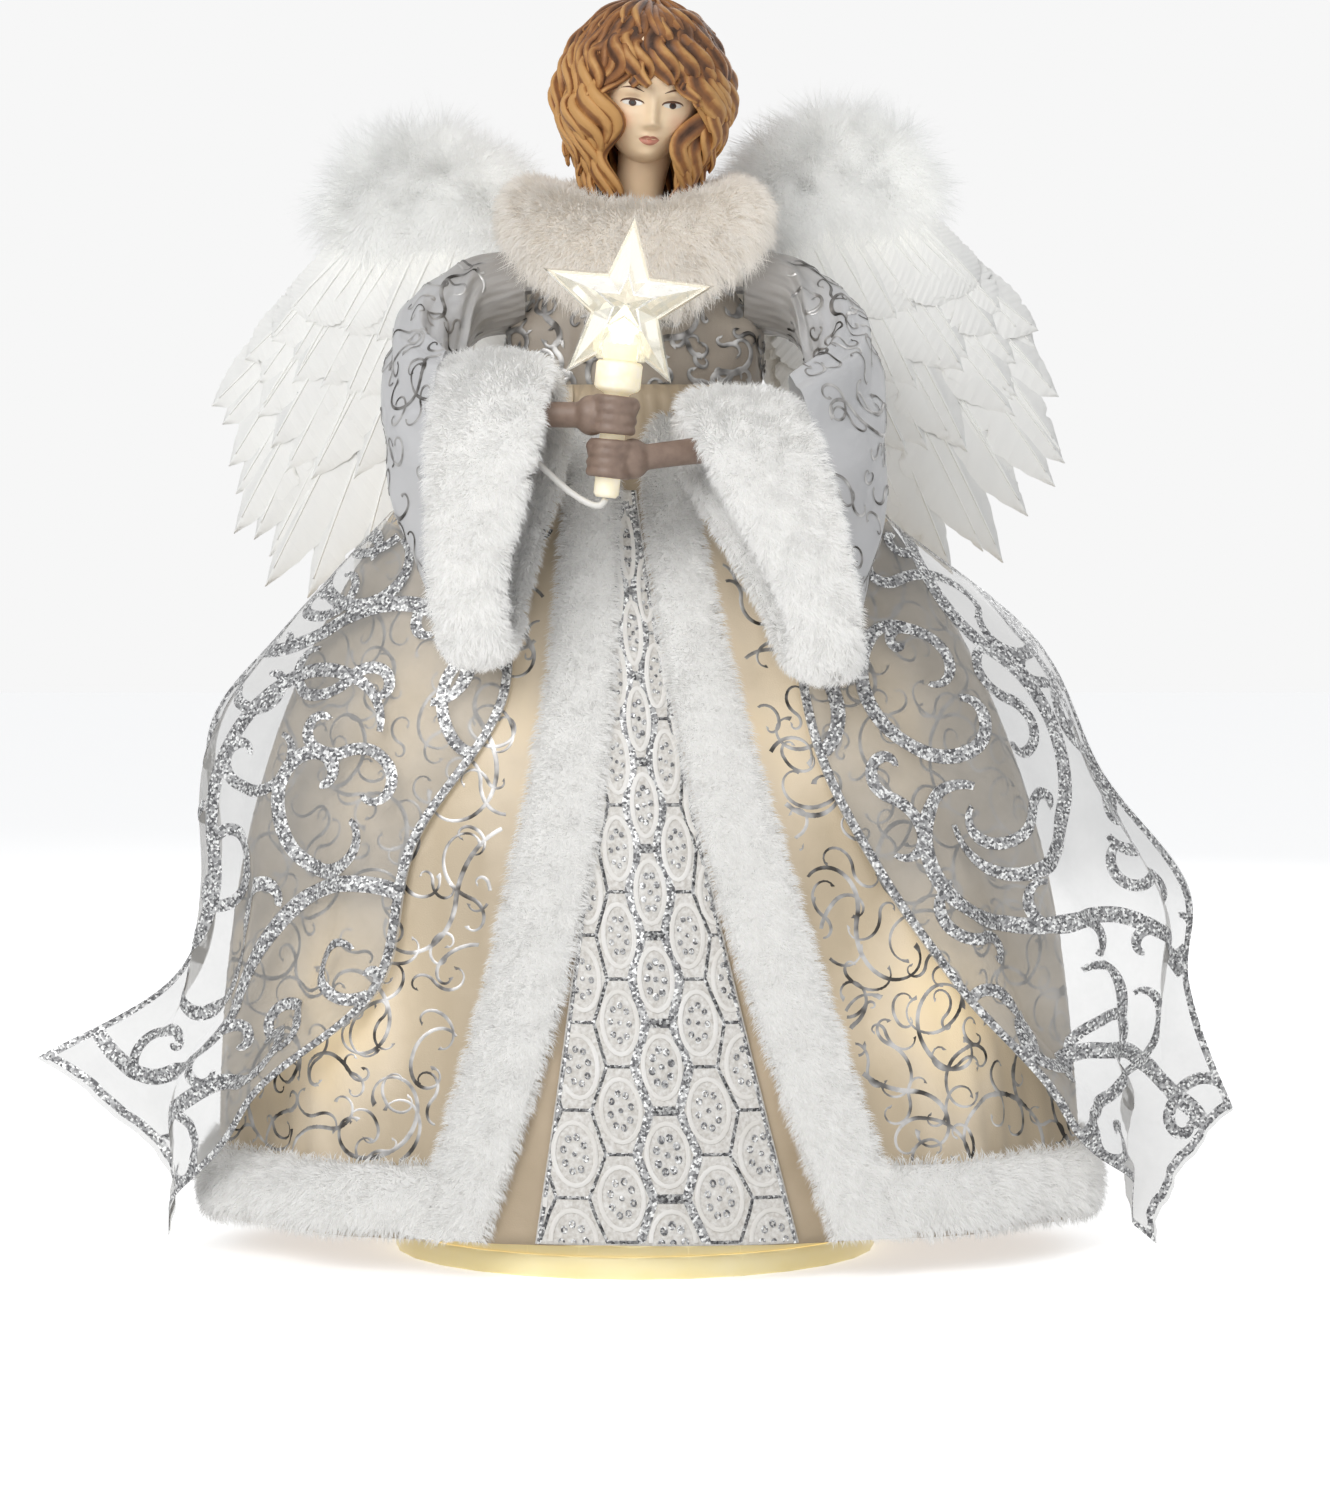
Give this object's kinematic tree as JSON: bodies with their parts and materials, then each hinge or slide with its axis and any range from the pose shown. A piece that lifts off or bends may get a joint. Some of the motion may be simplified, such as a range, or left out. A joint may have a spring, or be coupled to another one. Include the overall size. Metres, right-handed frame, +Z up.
{
  "type": "angel tree topper",
  "caption": "Lit angel tree topper: a robed figure with feather wings, fur trims and a star lamp, on a hollow cone that goes over the top of a tree.",
  "frame": {"origin": "centre of the cone's mouth, on the underside of the foot ring", "axes": "+Z up along the cone, -Y the way the figure faces, +X to the viewer's right"},
  "size_m": [0.3066, 0.1445, 0.3124],
  "materials": {
    "ring_plastic": "translucent, lit from inside",
    "former": "matt",
    "skin": "satin",
    "hair": "curled fibre",
    "fur": "short plush fur",
    "satin": "satin",
    "robe_cloth": "sheer, foil printed",
    "cape_cloth": "sheer, glitter scrolls",
    "silver_cloth": "sheer, foil printed",
    "lace": "lace with glitter",
    "feather": "feather",
    "star_plastic": "clear, bevelled",
    "lamp": "lit",
    "white_plastic": "matt",
    "steel": "drawn wire and strip",
    "box_plastic": "matt",
    "cell": "wrapped cell",
    "dark_wire": "insulated wire"
  },
  "bodies": {
    "figure": {"foot_ring": "ring_plastic", "cone_former": "former", "torso_form": "former", "bodice": "silver_cloth", "head": "skin", "hair": "hair", "fur_collar": "fur", "underskirt": "satin", "robe_skirt": "robe_cloth", "lace_panel": "lace", "fur_trim_left": "fur", "fur_trim_right": "fur", "fur_hem": "fur", "cape_left": "cape_cloth", "cape_right": "cape_cloth", "body_lead": "white_plastic", "wing_bracket": "white_plastic", "lamp_string": "dark_wire", "battery_box": "box_plastic", "contact_strip": "steel", "box_screw_1": "steel", "box_screw_2": "steel", "cone_lamp_1": "lamp", "cone_lamp_2": "lamp", "cone_lamp_3": "lamp", "cone_lamp_4": "lamp", "cone_lamp_5": "lamp", "cone_lamp_6": "lamp", "cone_lamp_7": "lamp", "cone_lamp_8": "lamp", "cell_1": "cell", "cell_2": "cell", "cell_3": "cell", "contact_spring_1": "steel", "contact_spring_2": "steel", "contact_spring_3": "steel"},
    "arms": {"sleeve_left": "silver_cloth", "sleeve_right": "silver_cloth", "fur_cuff_left": "fur", "fur_cuff_right": "fur", "forearm_left": "skin", "forearm_right": "skin", "arm_wire": "steel", "candle_socket": "white_plastic", "star_lamp": "lamp", "star_lead": "white_plastic"},
    "star": {"star_cover": "star_plastic"},
    "wing_left": {"wing_wire_left": "steel", "wing_card_left": "former", "long_feathers_left": "feather", "short_feathers_left": "feather", "wing_down_left": "feather"},
    "wing_right": {"wing_wire_right": "steel", "wing_card_right": "former", "long_feathers_right": "feather", "short_feathers_right": "feather", "wing_down_right": "feather"},
    "battery_door": {"battery_cover": "box_plastic"},
    "switch": {"switch_slider": "white_plastic"}
  },
  "joints": [
    {"name": "arms_lift", "type": "hinge", "parent": "figure", "child": "arms", "pos_m": [0, 0, 0.2387], "axis": [-1, 0, 0], "range_deg": [0, 20]},
    {"name": "star_lift", "type": "slide", "parent": "arms", "child": "star", "axis": [0.1045, 0, 0.9945], "range_m": [0, 0.016]},
    {"name": "wing_left_fold", "type": "hinge", "parent": "figure", "child": "wing_left", "pos_m": [-0.013, 0.029, 0.2387], "axis": [0, 0, -1], "range_deg": [0, 50]},
    {"name": "wing_right_fold", "type": "hinge", "parent": "figure", "child": "wing_right", "pos_m": [0.013, 0.029, 0.2387], "axis": [0, 0, 1], "range_deg": [0, 50]},
    {"name": "battery_cover_slide", "type": "slide", "parent": "figure", "child": "battery_door", "axis": [0, 0, -1], "range_m": [0, 0.045]},
    {"name": "switch_slide", "type": "slide", "parent": "figure", "child": "switch", "axis": [-1, 0, 0], "range_m": [0, 0.004]}
  ]
}
